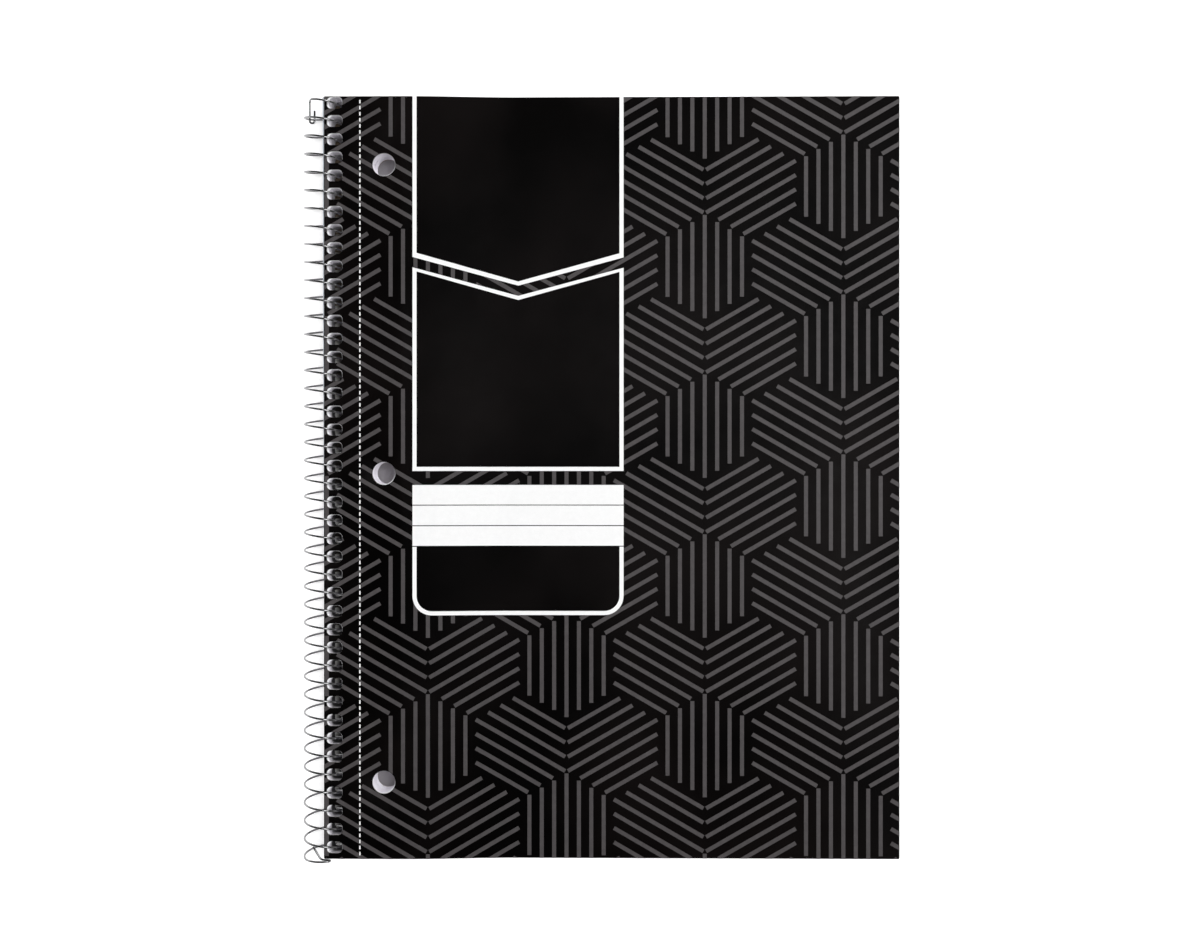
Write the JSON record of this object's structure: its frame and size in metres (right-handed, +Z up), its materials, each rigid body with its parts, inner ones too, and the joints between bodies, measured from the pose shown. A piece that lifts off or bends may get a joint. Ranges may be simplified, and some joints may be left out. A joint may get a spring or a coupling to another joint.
{
  "type": "spiral notebook",
  "caption": "Closed spiral-bound notebook with dark patterned card cover, blank label panels, punched ruled sheets and hinged covers.",
  "frame": {"origin": "on the surface the notebook lies on, under the middle of the covers", "axes": "+Z up out of the front cover, +Y towards the head of the page, spine with its wire along -X"},
  "size_m": [0.2094, 0.2677, 0.0145],
  "materials": {
    "paper": "matte",
    "front_card": "satin",
    "back_card": "matte",
    "wire_steel": "polished",
    "pattern_ink": "satin",
    "label_ink": "satin",
    "ruling_ink": "matte",
    "margin_ink": "matte"
  },
  "bodies": {
    "book": {"page_block": "paper", "spiral_wire": "wire_steel", "page_ruling_print": "ruling_ink", "page_margin_print": "margin_ink"},
    "front": {"front_cover": "front_card", "cover_pattern_print": "pattern_ink", "cover_label_print": "label_ink", "perforation_print": "label_ink"},
    "back": {"back_cover": "back_card"}
  },
  "joints": [
    {"name": "front_cover_hinge", "type": "hinge", "parent": "book", "child": "front", "pos_m": [-0.10097, 0, 0.01226], "axis": [0, -1, 0], "range_deg": [0, 180]},
    {"name": "back_cover_hinge", "type": "hinge", "parent": "book", "child": "back", "pos_m": [-0.10097, 0, 0.00226], "axis": [0, 1, 0], "range_deg": [0, 180]}
  ]
}
